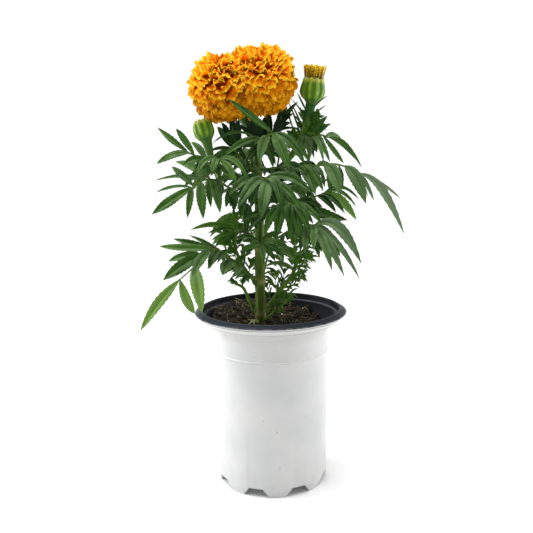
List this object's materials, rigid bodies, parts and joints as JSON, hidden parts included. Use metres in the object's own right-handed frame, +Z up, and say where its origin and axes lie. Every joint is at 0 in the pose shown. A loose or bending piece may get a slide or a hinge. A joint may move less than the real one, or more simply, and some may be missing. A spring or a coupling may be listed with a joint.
{
  "type": "potted marigold",
  "caption": "Flowering marigold plant with a double orange bloom, buds and divided leaves, growing in soil in a tall white nursery pot.",
  "frame": {"origin": "middle of the pot's footprint, on the surface that the pot stands on", "axes": "+Z up the stem, -Y towards the plant's front, +X to the right seen from the front"},
  "size_m": [0.199, 0.1534, 0.343],
  "materials": {
    "pot_plastic": "satin",
    "peat": "matte",
    "stem_green": "satin",
    "leaf_green": "satin",
    "young_leaf_green": "satin",
    "calyx_green": "satin",
    "petal_orange": "matte",
    "floret_yellow": "matte"
  },
  "bodies": {
    "root": {"pot": "pot_plastic", "soil": "peat", "main_stem": "stem_green", "branch_left": "stem_green", "flower_head": "petal_orange", "flower_cup": "calyx_green", "bud_left": "calyx_green", "bud_right_cup": "calyx_green", "bud_tiny": "calyx_green", "bud_right_florets": "floret_yellow", "leaf_left_high": "leaf_green", "leaf_left_front": "leaf_green", "leaf_left_middle": "leaf_green", "leaf_left_low": "leaf_green", "leaf_front_middle": "leaf_green", "leaf_front_right": "leaf_green", "leaf_front_high": "leaf_green", "leaf_left_top": "leaf_green", "leaf_right_top": "leaf_green", "leaf_right_high": "leaf_green", "leaf_right_big": "leaf_green", "leaf_right_middle": "leaf_green", "leaf_right_low": "leaf_green", "leaf_front_low": "leaf_green", "leaf_back_low": "leaf_green", "leaf_back_left_low": "leaf_green", "leaf_back_right": "leaf_green", "leaf_back_left": "leaf_green", "leaf_back_middle": "leaf_green", "leaf_back_high": "leaf_green", "branch_right": "young_leaf_green", "shoot_left": "young_leaf_green", "shoot_right": "young_leaf_green", "sprout_right": "young_leaf_green", "sprout_left": "young_leaf_green"}
  },
  "joints": []
}
